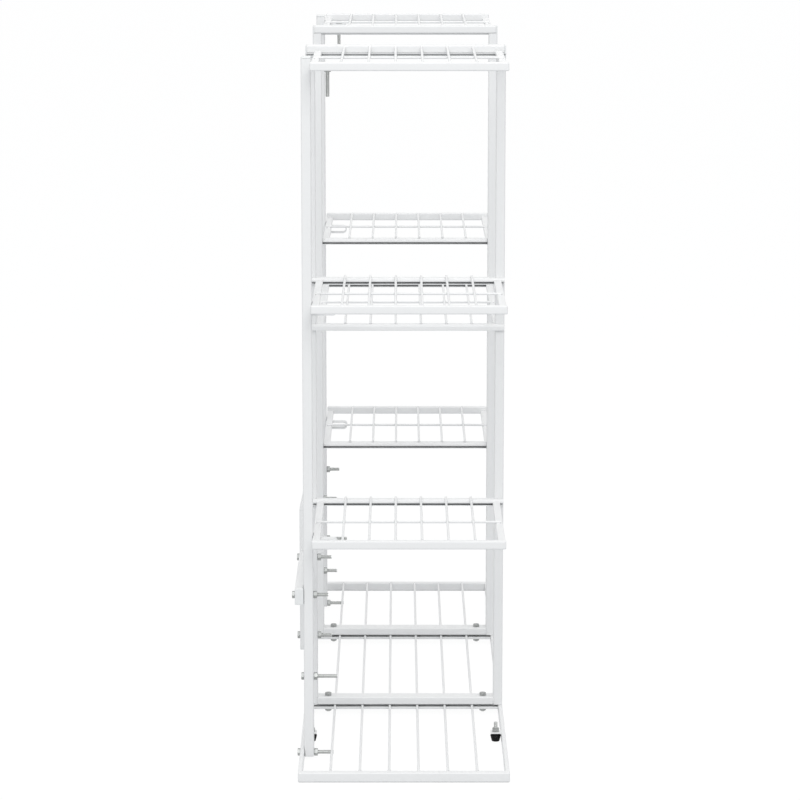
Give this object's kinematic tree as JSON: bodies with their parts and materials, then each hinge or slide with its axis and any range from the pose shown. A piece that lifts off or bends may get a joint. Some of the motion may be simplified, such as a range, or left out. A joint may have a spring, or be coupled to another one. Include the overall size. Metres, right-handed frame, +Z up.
{
  "type": "plant shelf",
  "caption": "Long narrow tiered plant shelf of white painted tube frames and wire shelves bolted to a wire platform, with levelling feet.",
  "frame": {"origin": "on the floor under the middle of the stand's box", "axes": "+Z up, +Y along the length away from the end that the picture looks at, +X from the back posts to the open front"},
  "size_m": [0.259, 0.945, 0.846],
  "materials": {
    "white_paint": "satin powder coat",
    "zinc_steel": "zinc plated",
    "white_plastic": "moulded",
    "black_rubber": "moulded"
  },
  "bodies": {
    "stand": {"back_strut_far": "white_paint", "back_strut_near": "white_paint", "back_tie_far": "white_paint", "back_tie_near": "white_paint", "bracket_bolts": "zinc_steel", "bracket_nuts": "zinc_steel", "foot_nuts": "zinc_steel", "frame_far_back_leg": "white_paint", "frame_far_foot_bar": "white_paint", "frame_far_front_leg": "white_paint", "frame_far_shelf_bars": "white_paint", "frame_far_top_bar": "white_paint", "frame_near_back_leg": "white_paint", "frame_near_foot_bar": "white_paint", "frame_near_front_leg": "white_paint", "frame_near_shelf_bars": "white_paint", "frame_near_top_bar": "white_paint", "platform_bolts": "zinc_steel", "platform_far": "white_paint", "platform_middle": "white_paint", "platform_near": "white_paint", "platform_nuts": "zinc_steel", "post_bolts": "zinc_steel", "post_far": "white_paint", "post_near": "white_paint", "post_nuts": "zinc_steel", "shelf_brackets_far": "white_paint", "shelf_brackets_near": "white_paint", "shelf_centre": "white_paint", "shelf_far_low": "white_paint", "shelf_far_middle": "white_paint", "shelf_far_top": "white_paint", "shelf_near_low": "white_paint", "shelf_near_middle": "white_paint", "shelf_near_top": "white_paint", "tube_caps": "white_plastic"},
    "foot_left": {"foot_left_pad": "black_rubber", "foot_left_screw": "zinc_steel"},
    "foot_right": {"foot_right_pad": "black_rubber", "foot_right_screw": "zinc_steel"}
  },
  "joints": [
    {"name": "foot_left_height", "type": "slide", "parent": "stand", "child": "foot_left", "axis": [0, 0, -1], "range_m": [0, 0.008]},
    {"name": "foot_right_height", "type": "slide", "parent": "stand", "child": "foot_right", "axis": [0, 0, -1], "range_m": [0, 0.008]}
  ]
}
